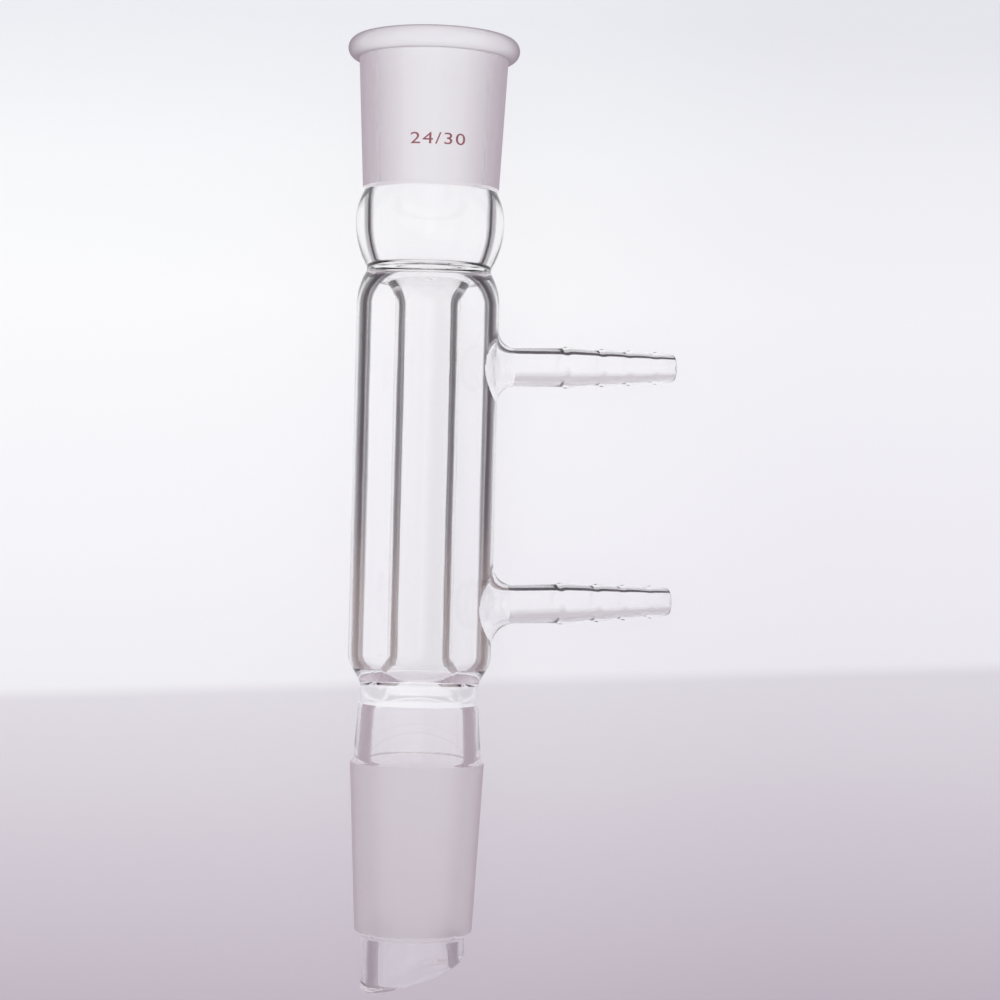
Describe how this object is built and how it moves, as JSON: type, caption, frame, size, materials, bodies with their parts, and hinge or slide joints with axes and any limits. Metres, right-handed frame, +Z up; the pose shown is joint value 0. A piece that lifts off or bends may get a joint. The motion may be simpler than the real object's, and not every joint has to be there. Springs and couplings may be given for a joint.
{
  "type": "straight condenser",
  "caption": "Straight water-jacketed glass condenser with a ground socket and drying bulb above, a ground cone and slanted drip tip below, and hose connections on one side.",
  "frame": {"origin": "centre of the footprint on the bench, as the condenser lies at rest", "axes": "+Z up; the condenser's own axis runs along Y with the socket at +Y, raised 1.4 degrees because the rolled rim is its widest part; the hose connections point to +X and 13 degrees down, to where a mouth touches the bench"},
  "size_m": [0.0612, 0.1706, 0.0309],
  "materials": {
    "clear_glass": "clear blown borosilicate glass, fire polished",
    "ground_glass": "fine ground, matt and milky",
    "size_mark": "fired enamel print"
  },
  "bodies": {
    "root": {"condenser": "clear_glass"}
  },
  "joints": []
}
